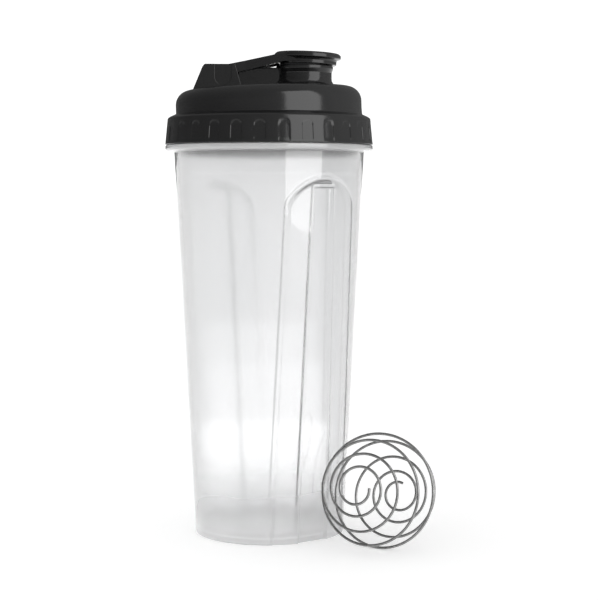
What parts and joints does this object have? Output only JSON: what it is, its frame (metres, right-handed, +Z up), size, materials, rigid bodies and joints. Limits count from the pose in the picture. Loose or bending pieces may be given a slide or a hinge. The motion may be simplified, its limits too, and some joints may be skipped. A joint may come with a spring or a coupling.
{
  "type": "protein shaker bottle",
  "caption": "Translucent tapered shaker bottle with a black screw lid, a flip cap over its spout and a loose wire whisk ball.",
  "frame": {"origin": "centre of the cup's base, where it stands", "axes": "+Z up along the bottle's axis, +X towards the spout, -X towards the hinge, -Y the front"},
  "size_m": [0.1199, 0.1128, 0.2189],
  "materials": {
    "translucent_plastic": "milky translucent, smooth",
    "black_plastic": "semi-gloss",
    "silicone": "matt, soft",
    "black_rubber": "matt, soft",
    "steel": "drawn wire, bright"
  },
  "bodies": {
    "cup": {"cup": "translucent_plastic"},
    "seal": {"lid_gasket": "silicone"},
    "lid": {"lid": "black_plastic", "hinge_pin": "steel"},
    "cap": {"flip_cap": "black_plastic", "spout_plug": "black_rubber"},
    "ball": {"whisk_ball": "steel"}
  },
  "joints": [
    {"name": "lid_rise", "type": "slide", "parent": "cup", "child": "seal", "axis": [0, 0, 1], "range_m": [0, 0.00626]},
    {"name": "lid_turn", "type": "hinge", "parent": "seal", "child": "lid", "pos_m": [0, 0, 0.1769], "axis": [0, 0, 1], "range_deg": [0, 450]},
    {"name": "cap_flip", "type": "hinge", "parent": "lid", "child": "cap", "pos_m": [-0.0205, 0, 0.207], "axis": [0, -1, 0], "range_deg": [0, 110]},
    {"name": "ball_lift", "type": "slide", "parent": "cup", "child": "ball", "axis": [0.5393, -0.4573, 0.7071], "range_m": [0, 0.15]}
  ],
  "couplings": [
    {"joint": "lid_rise", "follows": "lid_turn", "m_per_rad": 0.00079577}
  ]
}
